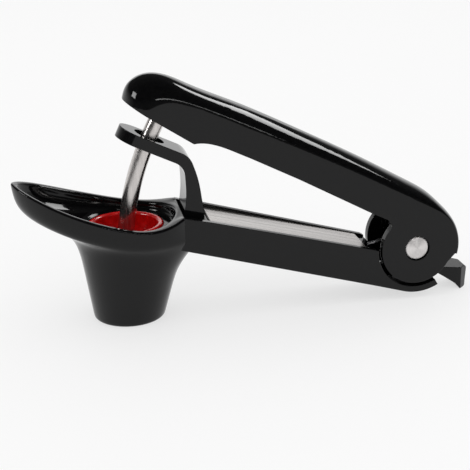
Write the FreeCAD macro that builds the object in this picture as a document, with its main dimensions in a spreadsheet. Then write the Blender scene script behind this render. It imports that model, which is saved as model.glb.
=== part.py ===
import FreeCAD, Part
import math
import os

import Sketcher

# Cherry pitter with lever, in millimetres. The origin is the middle of the cup skirt's foot, on the table.
# +X runs from the cup to the hinge, +Z is up, and the XZ plane is the plane of symmetry.

SIZES = {
    # Hinge and its stack across the width
    "hinge_x": 116.0, "hinge_height": 21.6, "hub_radius": 14.8, "hub_gap": 1.5, "cradle_wall": 2.5,
    "body_width": 22.6, "cheek_wall": 3.0, "washer_wall": 0.4, "washer_radius": 4.6, "side_play": 0.05,
    "ear_wall": 3.0, "ear_radius": 7.0, "pin_radius": 2.0, "running_play": 0.05, "head_radius": 4.75,
    "head_wall": 1.2, "head_gap": 0.4, "bush_wall": 1.2, "cradle_end_angle": 60.0,
    # Spring between the ears
    "spring_wire": 1.2, "spring_radius": 5.0, "sleeve_wall": 1.4, "spring_pitch": 1.36,
    "spring_floor_x": 97.5, "spring_roof_x": 104.6, "spring_roof_height": 46.6,
    # Rod, swinging about the hinge
    "rod_seat_x": 0.65, "rod_radius": 3.2, "rod_tip_angle": 4.4, "rod_top_angle": 34.7, "rod_pin_radius": 0.9,
    "rod_pin_angle": 32.6, "rod_fit": 0.02,
    # Lever shell
    "lever_wall": 2.0, "roof_wall": 2.2, "back_wall_gap": 2.5, "back_radius": 19.4, "back_end_angle": 12.2,
    "back_land": 0.4, "cheek_end_angle": 50.0,
    # Rod carrier under the lever's roof
    "carrier_floor_angle": 34.5, "carrier_fit": 0.15, "boss_radius": 5.2, "boss_end_angle": 31.0,
    "carrier_front": 8.0, "carrier_back": 17.0, "carrier_screw_setback": 12.0,
    "small_screw_radius": 1.0, "small_screw_length": 5.6, "small_head_radius": 1.9, "small_head_wall": 1.1,
    # Guide arm with the ring plate
    "plate_angle": 25.6, "plate_reach": 12.2, "plate_wall": 4.4, "guide_width": 16.0, "guide_hole_radius": 6.1,
    "post_front_x": 21.9, "post_back_x": 30.1, "post_shoulder_x": 25.2, "post_throat_x": 22.9,
    "post_waist_x": 28.3, "post_waist_height": 56.0, "post_knee_x": 23.5, "post_knee_height": 49.5,
    "post_heel_height": 42.0, "post_bend": 45.0, "post_shoulder_radius": 7.5,
    "post_inner_radius": 6.0, "foot_rise": 6.4, "foot_side_gap": 0.25,
    "guide_screw_radius": 1.5, "guide_screw_head": 2.8, "guide_head_wall": 1.8, "guide_screw_pitch": 11.0,
    "guide_screw_depth": 5.0,
    # Tray
    "tray_front": 44.0, "tray_rear": 26.0, "tray_middle_x": 2.0, "tray_half_width": 22.3, "tray_cut_x": 21.5,
    "tip_height": 57.6, "tip_land": 2.6, "rim_land": 3.3, "rim_round": 1.3, "bowl_radius": 18.3,
    "bowl_middle_x": 1.3, "bowl_floor_round": 0.9, "seat_height": 37.7, "rim_back_height": 43.0,
    "rim_low_height": 40.7,
    # Skirt under the cup
    "foot_radius": 14.1, "skirt_top_radius": 20.6, "skirt_side_radius": 19.05, "skirt_top_shift": 2.2,
    "skirt_top_height": 30.0, "skirt_straight": 26.0, "heel_height": 17.0, "heel_reach": 3.2,
    "skirt_wall": 2.0, "foot_edge_radius": 1.4,
    # Silicone cup
    "lip_radius": 15.0, "lip_wall": 1.8, "lip_rise": 0.8, "lip_width": 2.4, "cup_wall": 1.5, "cup_depth": 15.0,
    "cup_floor_radius": 7.6, "cup_hole_radius": 4.4, "cup_fit": 0.15, "seat_wall": 2.4,
    # Arm
    "arm_front_width": 28.6, "arm_wall": 2.3, "arm_top_front": 42.7, "arm_top_drop_x": 32.0,
    "arm_top_drop": 40.25, "arm_end_gap": 2.7, "arm_end_top": 22.4, "arm_bottom_front": 29.6,
    "foot_seat_height": 33.4, "channel_play": 0.3, "screw_pad_back_x": 36.0,
    # Steel strip
    "strip_front_x": 32.4, "strip_back_x": 95.5, "strip_wall": 0.8, "strip_sink_front": 1.3,
    "strip_sink_back": 0.3, "strip_gap": 0.15,
    # Lock tab
    "tab_drop": 11.8, "tab_wall": 2.0, "tab_width": 11.8, "tongue_width": 8.0, "tongue_front_x": 113.2,
    "tab_neck_x": 130.5, "tab_back_x": 141.2, "tab_bow": 3.4, "tab_foot_wall": 3.6, "tab_travel": 5.5,
    "tab_bed_gap": 0.2, "tab_wedge_reach": 3.5, "tab_wedge_drop": 2.2, "tab_notch_play": 0.35,
    "stop_screw_x": 119.2, "stop_screw_radius": 1.25, "stop_head_radius": 2.4, "stop_head_wall": 1.4, "stop_slot_play": 0.25,
}

doc = FreeCAD.newDocument("CherryPitter")
sheet = doc.addObject("Spreadsheet::Sheet", "Sizes")
for row, (name, value) in enumerate(SIZES.items(), start=1):
    sheet.set(f"A{row}", name.replace("_", " "))
    sheet.set(f"B{row}", str(value))
    sheet.setAlias(f"B{row}", name)
doc.recompute()


class Length:
    """A number with the spreadsheet expression that gives it."""

    def __init__(self, value, text):
        self.value = value
        self.text = text

    def join(self, other, sign, value):
        return Length(value, f"({self.text} {sign} {as_length(other).text})")

    def __add__(self, other):
        return self.join(other, "+", self.value + as_length(other).value)

    def __sub__(self, other):
        return self.join(other, "-", self.value - as_length(other).value)

    def __mul__(self, other):
        return self.join(other, "*", self.value * as_length(other).value)

    def __truediv__(self, other):
        return self.join(other, "/", self.value / as_length(other).value)

    def __radd__(self, other):
        return as_length(other) + self

    def __rsub__(self, other):
        return as_length(other) - self

    def __rmul__(self, other):
        return as_length(other) * self

    def __neg__(self):
        return Length(-self.value, f"(0 - {self.text})")


def as_length(number):
    return number if isinstance(number, Length) else Length(float(number), repr(float(number)))


def cosine(angle):
    return Length(math.cos(math.radians(angle.value)), f"cos({angle.text})")


def sine(angle):
    return Length(math.sin(math.radians(angle.value)), f"sin({angle.text})")


def tangent(angle):
    return Length(math.tan(math.radians(angle.value)), f"tan({angle.text})")


def root(length):
    return Length(math.sqrt(length.value), f"sqrt({length.text})")


class Sizes:
    """Every size of the sheet as an attribute."""


size = Sizes()
for name in SIZES:
    setattr(size, name, Length(float(sheet.get(name)), f"Sizes.{name}"))

# Sizes that several pieces share
half_width = size.body_width / 2
cheek_inside = half_width - size.cheek_wall
ear_outside = cheek_inside - size.washer_wall - 2 * size.side_play
ear_inside = ear_outside - size.ear_wall
cradle_inside = size.hub_radius + size.hub_gap
cradle_outside = cradle_inside + size.cradle_wall
seat_rise = size.seat_height - size.hinge_height
rod_run = size.hinge_x - size.rod_seat_x
swing_radius = root(rod_run * rod_run + seat_rise * seat_rise)
hub_cavity_radius = size.back_radius - size.back_wall_gap
end_half_width = half_width
arm_start_half = size.arm_front_width / 2
arm_end_x = size.hinge_x - cradle_inside - size.arm_end_gap + 1.5
tab_top = size.hinge_height - size.tab_drop
tab_bottom = tab_top - size.tab_wall
bed_top = tab_bottom - size.tab_bed_gap
notch_front_x = size.tab_neck_x - size.tab_wedge_reach - size.tab_travel - size.tab_notch_play
bed_back_x = notch_front_x + size.tab_wedge_reach
clear_of_all = 2 * size.hinge_x.value


def around_hinge(radius, angle):
    """A point at this distance from the hinge, this many degrees above the line towards the cup."""
    return size.hinge_x - radius * cosine(angle), size.hinge_height + radius * sine(angle)


def arc_between(start, end, radius):
    """The arc from start to end, drawn counter-clockwise. A positive radius bulges to the left of the way."""
    start, end = FreeCAD.Vector(*start, 0), FreeCAD.Vector(*end, 0)
    way = end - start
    left = FreeCAD.Vector(-way.y, way.x, 0).normalize()
    depth = math.sqrt(max(radius * radius - way.Length ** 2 / 4, 0))
    centre = (start + end) / 2 - left * math.copysign(depth, radius)
    first, last = (end - centre, start - centre) if radius > 0 else (start - centre, end - centre)
    turn = 2 * math.pi
    opening, closing = math.atan2(first.y, first.x) % turn, math.atan2(last.y, last.x) % turn
    closing += turn if closing <= opening else 0
    return Part.ArcOfCircle(Part.Circle(centre, FreeCAD.Vector(0, 0, 1), abs(radius)), opening, closing)


def sketch_on(body, name, role, offset=None, turn=None):
    """A sketch on one of the body's own planes, moved along its normal and turned where asked."""
    sketch = body.newObject("Sketcher::SketchObject", name)
    plane = [f for f in body.Origin.OriginFeatures if f.Role == role][0]
    sketch.AttachmentSupport = [(plane, "")]
    sketch.MapMode = "FlatFace"
    if turn is not None:
        sketch.AttachmentOffset = FreeCAD.Placement(FreeCAD.Vector(), FreeCAD.Rotation(*turn))
    if offset is not None:
        for axis, distance in zip("xyz", offset):
            if distance is not None:
                sketch.setExpression(f"AttachmentOffset.Base.{axis}", as_length(distance).text)
    return sketch


def draw_outline(sketch, corners):
    """A closed outline. Each corner is (x, y) or (x, y, radius of the arc that leaves it)."""
    points = [(as_length(c[0]), as_length(c[1])) for c in corners]
    bends = [as_length(c[2]) if len(c) > 2 else None for c in corners]
    first = len(sketch.Geometry)
    count = len(points)
    for i in range(count):
        start = (points[i][0].value, points[i][1].value)
        end = (points[(i + 1) % count][0].value, points[(i + 1) % count][1].value)
        if bends[i] is None:
            sketch.addGeometry(Part.LineSegment(FreeCAD.Vector(*start, 0), FreeCAD.Vector(*end, 0)), False)
        else:
            sketch.addGeometry(arc_between(start, end, bends[i].value), False)
    flipped = [bend is not None and bend.value > 0 for bend in bends]
    held = []
    for i in range(count):
        j = (i + 1) % count
        held.append((Sketcher.Constraint("Coincident", first + i, 1 if flipped[i] else 2,
                                         first + j, 2 if flipped[j] else 1), None))
    for i, (x, y) in enumerate(points):
        vertex = 2 if flipped[i] else 1
        held.append((Sketcher.Constraint("DistanceX", -1, 1, first + i, vertex, x.value), x))
        held.append((Sketcher.Constraint("DistanceY", -1, 1, first + i, vertex, y.value), y))
        if bends[i] is not None:
            radius = Length(abs(bends[i].value), f"abs({bends[i].text})")
            held.append((Sketcher.Constraint("Radius", first + i, radius.value), radius))
    bind(sketch, held)
    return sketch


def bind(sketch, held):
    """Adds the constraints together, so that no arc turns over on the way, and ties each to its length."""
    start = sketch.ConstraintCount
    sketch.addConstraint([constraint for constraint, _ in held])
    for number, (_, length) in enumerate(held, start=start):
        if length is not None:
            sketch.setExpression(f"Constraints[{number}]", length.text)


def draw_circle(sketch, x, y, radius):
    x, y, radius = as_length(x), as_length(y), as_length(radius)
    number = sketch.addGeometry(Part.Circle(FreeCAD.Vector(x.value, y.value, 0), FreeCAD.Vector(0, 0, 1),
                                            radius.value), False)
    bind(sketch, [(Sketcher.Constraint("DistanceX", -1, 1, number, 3, x.value), x),
                  (Sketcher.Constraint("DistanceY", -1, 1, number, 3, y.value), y),
                  (Sketcher.Constraint("Radius", number, radius.value), radius)])
    return sketch


def new_body(name):
    body = doc.addObject("PartDesign::Body", name)
    body.Label = name
    return body


def pad(body, sketch, length, midplane=True, reverse=False):
    feature = body.newObject("PartDesign::Pad", sketch.Name + "Pad")
    feature.Profile = sketch
    feature.Length = as_length(length).value
    feature.setExpression("Length", as_length(length).text)
    feature.Midplane = midplane
    feature.Reversed = reverse
    sketch.Visibility = False
    return feature


def pocket(body, sketch, length, midplane=True, reverse=False):
    feature = body.newObject("PartDesign::Pocket", sketch.Name + "Pocket")
    feature.Profile = sketch
    feature.Length = as_length(length).value
    feature.setExpression("Length", as_length(length).text)
    feature.Midplane = midplane
    feature.Reversed = reverse
    return feature


def revolve(body, sketch, axis="V_Axis"):
    feature = body.newObject("PartDesign::Revolution", sketch.Name + "Turn")
    feature.Profile = sketch
    feature.ReferenceAxis = (sketch, [axis])
    feature.Angle = 360
    return feature


def round_edges(body, name, radius, wanted):
    """A fillet on each edge of the body so far whose middle passes the wanted test."""
    doc.recompute()
    tip = body.Tip
    names = [f"Edge{i}" for i, edge in enumerate(tip.Shape.Edges, start=1) if wanted(edge)]
    feature = body.newObject("PartDesign::Fillet", name)
    feature.Base = (tip, names)
    feature.Radius = as_length(radius).value
    feature.setExpression("Radius", as_length(radius).text)
    doc.recompute()
    return feature


def middle_of(edge):
    return edge.valueAt((edge.FirstParameter + edge.LastParameter) / 2)


def near(edge, x, z, reach=0.05):
    point = middle_of(edge)
    return math.hypot(point.x - as_length(x).value, point.z - as_length(z).value) < reach


def place_along_y(feature, x, y, z):
    """Turns a feature made along +Z so that it runs along +Y from this point."""
    feature.Placement = FreeCAD.Placement(FreeCAD.Vector(), FreeCAD.Rotation(FreeCAD.Vector(1, 0, 0), -90))
    for axis, distance in zip("xyz", (x, y, z)):
        feature.setExpression(f"Placement.Base.{axis}", as_length(distance).text)
    return feature


def cylinder(name, radius, height):
    feature = doc.addObject("Part::Cylinder", name)
    feature.setExpression("Radius", as_length(radius).text)
    feature.setExpression("Height", as_length(height).text)
    return feature


def tube_along_y(name, inner, outer, y, length):
    """A plain ring about the hinge axis, starting at y."""
    wall = place_along_y(cylinder(name + "_wall", outer, length), size.hinge_x, y, size.hinge_height)
    hole = place_along_y(cylinder(name + "_hole", inner, length), size.hinge_x, y, size.hinge_height)
    return subtract(name, wall, hole)


def subtract(name, base, tool):
    feature = doc.addObject("Part::Cut", name)
    feature.Base = base
    feature.Tool = tool
    feature.Label = name
    return feature


def join(name, shapes):
    feature = doc.addObject("Part::MultiFuse", name)
    feature.Shapes = shapes
    feature.Label = name
    return feature


def gather(name, shapes):
    """Separate solids that share one node."""
    feature = doc.addObject("Part::Compound", name)
    feature.Links = shapes
    feature.Label = name
    return feature


def solid_feature(name, shape):
    feature = doc.addObject("Part::Feature", name)
    feature.Shape = shape
    feature.Label = name
    return feature


def point(x, y, z):
    return FreeCAD.Vector(*(as_length(n).value for n in (x, y, z)))


# Tray, skirt and arm: one moulding

def rim_curve():
    """The line of the rim seen from the side, from the raised tip to the back of the cup."""
    tip_x = size.tray_middle_x.value - size.tray_front.value
    back_x = size.tray_cut_x.value
    low_x = size.tray_middle_x.value + 0.35 * (back_x - size.tray_middle_x.value)
    top, low, back = size.tip_height.value, size.rim_low_height.value, size.rim_back_height.value
    shares = ((0.0, 1.0), (0.12, 0.835), (0.35, 0.53), (0.68, 0.185))
    points = [point(tip_x + part * (low_x - tip_x), 0, low + rise * (top - low)) for part, rise in shares]
    points += [point(low_x, 0, low), point(back_x, 0, back)]
    curve = Part.BSplineCurve()
    curve.interpolate(points)
    return curve


def rim_height(curve, x):
    """Where the rim line crosses this x, found by halving."""
    low, high = curve.FirstParameter, curve.LastParameter
    for _ in range(40):
        middle = (low + high) / 2
        low, high = (middle, high) if curve.value(middle).x < x else (low, middle)
    return curve.value((low + high) / 2).z


def sewn_solid(faces):
    """One solid from faces that meet along their edges, with its faces turned outwards."""
    shell = Part.Shell(Part.makeShell(faces).Faces)
    shell.sewShape()
    solid = Part.Solid(shell)
    if solid.Volume < 0:
        solid.reverse()
    return solid


def bezier(corners, share):
    """A point of the curve that leaves corner one towards corner two and reaches corner four from corner three."""
    start, leave, arrive, end = corners
    rest = 1 - share
    return (start * rest ** 3 + leave * (3 * rest * rest * share)
            + arrive * (3 * rest * share * share) + end * share ** 3)


def outline_place(turn, side_inset, tip_inset, back_inset):
    """The tray's outline from above: a pointed half ellipse ahead of its middle and a plain one behind it."""
    along, across = math.cos(turn), math.sin(turn)
    half = size.tray_half_width.value - side_inset
    middle = size.tray_middle_x.value
    if along > 0:
        pointed = math.copysign(abs(across) ** 1.2, across)
        return middle - (size.tray_front.value - tip_inset) * along, half * pointed
    return middle - (size.tray_rear.value - back_inset) * along, half * across


def rim_place(curve, turn, inset, drop, inner=False):
    """A point of the rim: this far in from its outer edge, or out from its inner edge, and this far down."""
    side, tip, back = inset, inset, inset
    if inner:
        back_land = size.tray_middle_x + size.tray_rear - size.bowl_middle_x - size.bowl_radius
        side, tip = size.rim_land.value - inset, size.tip_land.value - inset
        back = back_land.value - inset
    x, y = outline_place(turn, side, tip, back)
    return FreeCAD.Vector(x, y, rim_height(curve, min(x, size.tray_cut_x.value)) - drop)


def skirt_place(turn, height, inset=0.0):
    """A point of the skirt's level section: an ellipse that leans towards the arm and flares under it."""
    share = height / size.skirt_top_height.value
    foot, along = size.foot_radius.value, math.cos(turn)
    reach = foot + share * (size.skirt_top_radius.value - foot) - inset
    side = foot + share * (size.skirt_side_radius.value - foot) - inset
    if along < 0:
        flare = (height - size.heel_height.value) / (size.skirt_straight - size.heel_height).value
        reach += size.heel_reach.value * max(flare, 0) ** 2
    return FreeCAD.Vector(size.skirt_top_shift.value * share - reach * along, side * math.sin(turn), height)


def ring_place(turn, radius, height):
    """A point of the round bowl about the cup."""
    return FreeCAD.Vector(size.bowl_middle_x.value - radius * math.cos(turn), radius * math.sin(turn), height)


def tray_column(curve, turn):
    """Points from the foot up the skirt, over the rolled rim and down the scoop to the bowl's floor."""
    edge, bend = size.foot_edge_radius.value, size.rim_round.value
    straight, seat = size.skirt_straight.value, size.seat_height.value
    column = [skirt_place(turn, height * edge, inset * edge)
              for inset, height in ((1, 0), (0.45, 0.03), (0.05, 0.4), (0, 1))]
    column += [skirt_place(turn, edge + share * (straight - edge)) for share in (0.25, 0.5, 0.75, 1.0)]
    start, rim = column[-1], rim_place(curve, turn, 0, bend)
    lean = (start - skirt_place(turn, straight - 1)) * (0.7 * (rim.z - start.z))
    drop = FreeCAD.Vector(0, 0, -0.68 * (rim.z - start.z))
    column += [bezier((start, start + lean, rim + drop, rim), step / 9) for step in range(1, 10)]
    column += [rim_place(curve, turn, 0, 0.3 * bend), rim_place(curve, turn, 0.4 * bend, 0),
               rim_place(curve, turn, 1.2 * bend, 0), rim_place(curve, turn, 1.1 * bend, 0, True),
               rim_place(curve, turn, 0.35 * bend, 0.05 * bend, True),
               rim_place(curve, turn, 0, 0.45 * bend, True)]
    lip = rim_place(curve, turn, 0, 1.3 * bend, True)
    floor_round = size.bowl_floor_round.value
    bowl = ring_place(turn, size.bowl_radius.value - 0.7, seat + floor_round)
    drop = FreeCAD.Vector(0, 0, -0.55 * (lip.z - bowl.z))
    outwards = (lip - bowl) * 0.4
    outwards.z *= 0.3
    column += [bezier((lip, lip + drop, bowl + outwards, bowl), step / 7) for step in range(8)]
    column += [ring_place(turn, size.bowl_radius.value - 0.9, seat + 0.25 * floor_round),
               ring_place(turn, size.bowl_radius.value - 1.4, seat),
               ring_place(turn, size.lip_radius.value + size.cup_fit.value + 0.4, seat)]
    return column


def tray_and_skirt():
    """One smooth skin round the cup's axis, closed by the foot's flat and by the bowl's floor."""
    curve = rim_curve()
    count = 48
    columns = [tray_column(curve, 2 * math.pi * number / count) for number in range(count)]
    rows = len(columns[0])
    poles = [[column[row] for column in columns] for row in range(rows)]
    surface = Part.BSplineSurface()
    surface.buildFromPolesMultsKnots(poles, [4] + [1] * (rows - 4) + [4], [1] * (count + 1),
                                     [float(n) for n in range(rows - 2)], [float(n) for n in range(count + 1)],
                                     False, True, 3, 3)
    skin = surface.toShape()
    rings = [edge for edge in skin.Edges if edge.BoundBox.ZLength < 0.01]
    flats = [Part.Face(Part.Wire([edge])) for edge in rings]
    return sewn_solid([skin] + flats)


def oblique_cone(bottom_radius, top_radius, top_shift, bottom, top):
    circles = []
    for radius, x, z in ((bottom_radius, 0, bottom), (top_radius, top_shift, top)):
        circles.append(Part.Wire(Part.makeCircle(radius, FreeCAD.Vector(x, 0, z), FreeCAD.Vector(0, 0, 1))))
    return Part.makeLoft(circles, True, True)


def side_solid(corners, half):
    """A side view outline carried across the width."""
    points = [point(x, -half, z) for x, z in corners]
    face = Part.Face(Part.makePolygon(points + points[:1]))
    return face.extrude(FreeCAD.Vector(0, 2 * half, 0))


def plan_solid(corners, bottom, top):
    """An outline seen from above carried upwards, mirrored about the XZ plane."""
    upper = [FreeCAD.Vector(x, y, bottom) for x, y in corners]
    lower = [FreeCAD.Vector(x, -y, bottom) for x, y in reversed(corners)]
    face = Part.Face(Part.makePolygon(upper + lower + upper[:1]))
    return face.extrude(FreeCAD.Vector(0, 0, top - bottom))


def hinge_disc(radius, y_from, y_to):
    start = point(size.hinge_x, y_from, size.hinge_height)
    length = as_length(y_to).value - as_length(y_from).value
    return Part.makeCylinder(as_length(radius).value, length, start, FreeCAD.Vector(0, 1, 0))


def arm_half_width(x):
    start, end = size.tray_cut_x.value, arm_end_x.value
    share = min(max((x - start) / (end - start), 0), 1)
    return arm_start_half.value + share * (end_half_width.value - arm_start_half.value)


def arm_top_line(x):
    """Height of the arm's side walls at this x, behind the first drop."""
    start = (size.arm_top_drop_x.value, size.arm_top_drop.value)
    end = (arm_end_x.value, size.arm_end_top.value)
    return start[1] + (x - start[0]) * (end[1] - start[1]) / (end[0] - start[0])


def strip_line(x, below=0.0):
    """Height of the strip's top face at this x, or this far below it."""
    share = (x - size.strip_front_x.value) / (size.strip_back_x.value - size.strip_front_x.value)
    sink = size.strip_sink_front.value + share * (size.strip_sink_back.value - size.strip_sink_front.value)
    return arm_top_line(x) - sink - below


def arm_slope():
    """The fall of the arm's bottom, in radians, which meets the cradle's round without a corner."""
    run, fall = (size.hinge_x - size.tray_cut_x).value, (size.arm_bottom_front - size.hinge_height).value
    return math.atan2(fall, run) + math.asin(cradle_outside.value / math.hypot(run, fall))


def arm_touch():
    """Where the arm's bottom runs into the cradle's round."""
    slope = arm_slope()
    return (size.hinge_x.value - cradle_outside.value * math.sin(slope),
            size.hinge_height.value - cradle_outside.value * math.cos(slope))


def arm_floor_height(x):
    touch_x, touch_z = arm_touch()
    return touch_z + (touch_x - x) * math.tan(arm_slope())


def arm_outside():
    touch_x, touch_z = arm_touch()
    front = size.tray_cut_x.value - 8
    front_z = arm_floor_height(front)
    end_x = size.hinge_x.value + cradle_outside.value
    corners = [(front, size.arm_top_front.value - 3), (size.tray_cut_x.value, size.arm_top_front.value),
               (size.arm_top_drop_x.value, size.arm_top_drop.value),
               (arm_end_x.value, size.arm_end_top.value),
               (size.hinge_x.value - cradle_inside.value, size.arm_end_top.value - 0.6),
               (size.hinge_x.value, size.hinge_height.value), (end_x, size.hinge_height.value),
               (end_x, size.hinge_height.value - cradle_outside.value), (touch_x, touch_z), (front, front_z)]
    side = side_solid(corners, arm_start_half.value + 5)
    plan = plan_solid([(front, arm_start_half.value + 0.6), (size.tray_cut_x.value, arm_start_half.value),
                       (arm_end_x.value, end_half_width.value), (end_x, end_half_width.value)], -5, 60)
    body = side.common(plan)
    past = side_solid([(size.hinge_x.value, size.hinge_height.value),
                       (end_x + 5, size.hinge_height.value + 5),
                       (end_x + 5, -20), (touch_x, -20), (touch_x, size.hinge_height.value)], 20)
    rounded = hinge_disc(cradle_outside, -half_width, half_width).common(past)
    return body.cut(past).fuse(rounded)


def arm_channel():
    """The open channel that holds the guide arm's foot and the steel strip."""
    wall = size.arm_wall.value
    start = size.tray_cut_x.value
    back = size.hinge_x.value - cradle_inside.value + 1
    seat_back = size.post_back_x.value + size.channel_play.value + 1.0
    below = size.strip_wall.value
    top = clear_of_all
    corners = [(start, top), (start, size.foot_seat_height.value), (seat_back, size.foot_seat_height.value),
               (seat_back, strip_line(seat_back, below)), (back, strip_line(back, below)), (back, top)]
    side = side_solid(corners, clear_of_all)
    plan = plan_solid([(start, arm_half_width(start) - wall), (back, arm_half_width(back) - wall)], -5, top)
    return side.common(plan)


def cradle_cut():
    """The room that the lever's hub turns in, and what lies above the end of the cradle."""
    turn = hinge_disc(cradle_inside, -20, 20)
    end = math.radians(size.cradle_end_angle.value)
    far = 60
    hinge = (size.hinge_x.value, size.hinge_height.value)
    ray = (hinge[0] + far * math.cos(end), hinge[1] - far * math.sin(end))
    beyond = side_solid([hinge, ray, (hinge[0] + far, hinge[1] + far), (hinge[0], hinge[1] + far)], 20)
    return turn.fuse(beyond)


def hinge_ears():
    """Two ears that hold the pin, and the bed between them that the lock's tongue slides on."""
    hx, hz = size.hinge_x.value, size.hinge_height.value
    radius = size.ear_radius.value
    low = hz - cradle_inside.value - 0.5 * size.cradle_wall.value
    solids = []
    for side in (-1, 1):
        y_from, y_to = sorted((side * ear_inside.value, side * ear_outside.value))
        disc = hinge_disc(radius, y_from, y_to)
        web = Part.makeBox(2 * radius + 6, y_to - y_from, hz - low,
                           FreeCAD.Vector(hx - radius - 3, y_from, low))
        trim = side_solid([(hx - radius, hz), (hx + radius, hz), (hx + radius + 1.5, low),
                           (hx - radius - 3, low)], 20)
        solids += [disc, web.common(trim)]
    bed_front = size.tongue_front_x.value - size.tab_travel.value - 1
    bed = Part.makeBox(bed_back_x.value - bed_front, 2 * ear_outside.value, bed_top.value - low,
                       FreeCAD.Vector(bed_front, -ear_outside.value, low))
    solids.append(bed)
    whole = solids[0].multiFuse(solids[1:])
    return whole.common(hinge_disc(cradle_inside + 0.5 * size.cradle_wall, -20, 20))


def screw_holes_in_frame():
    holes = []
    x = screw_x.value
    for side in (-1, 1):
        y = side * size.guide_screw_pitch.value / 2
        bottom = guide_screw_bottom.value
        below = FreeCAD.Vector(x, y, bottom - 5)
        holes.append(Part.makeCylinder(size.guide_screw_radius.value + 0.1, 30, below))
        holes.append(Part.makeCylinder(size.guide_screw_head.value + 0.2,
                                       12 + size.guide_head_wall.value + 0.05,
                                       FreeCAD.Vector(x, y, bottom - 12)))
    stop = FreeCAD.Vector(size.stop_screw_x.value, 0, -1)
    holes.append(Part.makeCylinder(size.stop_screw_radius.value + 0.05, 40, stop))
    holes.append(Part.makeCylinder(size.stop_head_radius.value + 0.2, stop_head_top.value + 1.05, stop))
    return holes


screw_x = (size.post_front_x + size.post_back_x) / 2 + 1.3
guide_screw_bottom = as_length(arm_floor_height(screw_x.value) + 0.5)
stop_head_top = as_length(size.hinge_height.value - cradle_outside.value + 0.4 + size.stop_head_wall.value)


def tab_notch():
    """The gap in the cradle's end that the lock tab slides into, with its sloping floor."""
    front, back, play = notch_front_x.value, bed_back_x.value, size.tab_notch_play.value
    deep = bed_top.value - size.tab_wedge_drop.value
    corners = [(front, bed_top.value), (back - play, deep), (back - play, -1), (back + 5, -1),
               (back + 5, tab_top.value + 2), (front, tab_top.value + 2)]
    return side_solid(corners, size.tongue_width.value / 2 + play)


def main_frame():
    behind = point(size.tray_cut_x, -clear_of_all / 2, size.arm_bottom_front + 2)
    tray = tray_and_skirt().cut(Part.makeBox(clear_of_all, clear_of_all, clear_of_all, behind))
    seat = size.seat_height.value
    bowl_room = Part.makeCylinder(size.bowl_radius.value + 1.3, clear_of_all,
                                  point(size.bowl_middle_x, 0, seat - 0.5))
    outside = arm_outside().cut(cradle_cut()).cut(bowl_room)
    body = tray.multiFuse([outside, hinge_ears()])
    shelf = seat - size.lip_wall.value
    inside_top = shelf - size.seat_wall.value
    narrow = size.foot_radius.value - size.skirt_wall.value
    lean = (size.skirt_side_radius.value - size.foot_radius.value) / size.skirt_top_height.value
    shift = size.skirt_top_shift.value * inside_top / size.skirt_top_height.value
    chute = oblique_cone(narrow - lean, narrow + lean * inside_top, shift, -1, inside_top)
    recess = Part.makeCylinder(size.lip_radius.value + size.cup_fit.value, clear_of_all, point(0, 0, shelf))
    well_radius = size.lip_radius - size.lip_width + size.cup_wall + size.cup_fit - 0.6
    well = Part.makeCylinder(well_radius.value, clear_of_all, point(0, 0, inside_top - 5))
    pin_hole = hinge_disc(size.pin_radius + 0.02, -half_width - 1, half_width + 1)
    cuts = [chute, recess, well, arm_channel(), arm_underside(), pin_hole, tab_notch()]
    for cut in cuts + screw_holes_in_frame():
        body = body.cut(cut)
    return body.removeSplitter()


def arm_underside():
    """The arm is moulded hollow from below, between its two side walls."""
    front, back = size.screw_pad_back_x.value, size.strip_back_x.value + 1
    roof = size.strip_wall.value + size.arm_wall.value
    side = side_solid([(front, strip_line(front, roof)), (back - 6, strip_line(back - 6, roof)),
                       (back, arm_floor_height(back) - 2), (front, arm_floor_height(front) - 4)], 30)
    clear = size.arm_wall.value + 0.4
    plan = plan_solid([(front, arm_half_width(front) - clear), (back, arm_half_width(back) - clear)], -20, 70)
    return side.common(plan)


def silicone_cup():
    """The red cup that the cherry sits in: a soft lip, a round bowl and a hole for the stone."""
    body = new_body("silicone_cup")
    lip_top = size.seat_height + size.lip_rise
    lip_under = size.seat_height - size.lip_wall
    inner_top = size.lip_radius - size.lip_width
    outer_top = inner_top + size.cup_wall - 0.6
    floor = size.seat_height - size.cup_depth
    sketch = sketch_on(body, "cup_section", "XZ_Plane")
    draw_outline(sketch, [
        (size.cup_hole_radius, floor - size.cup_wall), (size.cup_floor_radius, floor - size.cup_wall, -22.0),
        (outer_top, lip_under), (size.lip_radius, lip_under), (size.lip_radius, lip_top - 1.1, -1.1),
        (size.lip_radius - 1.1, lip_top), (inner_top + 1.1, lip_top, -1.1),
        (inner_top, lip_top - 1.1, 22.5), (size.cup_floor_radius - 0.8, floor),
        (size.cup_hole_radius, floor)])
    revolve(body, sketch)
    return body


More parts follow.
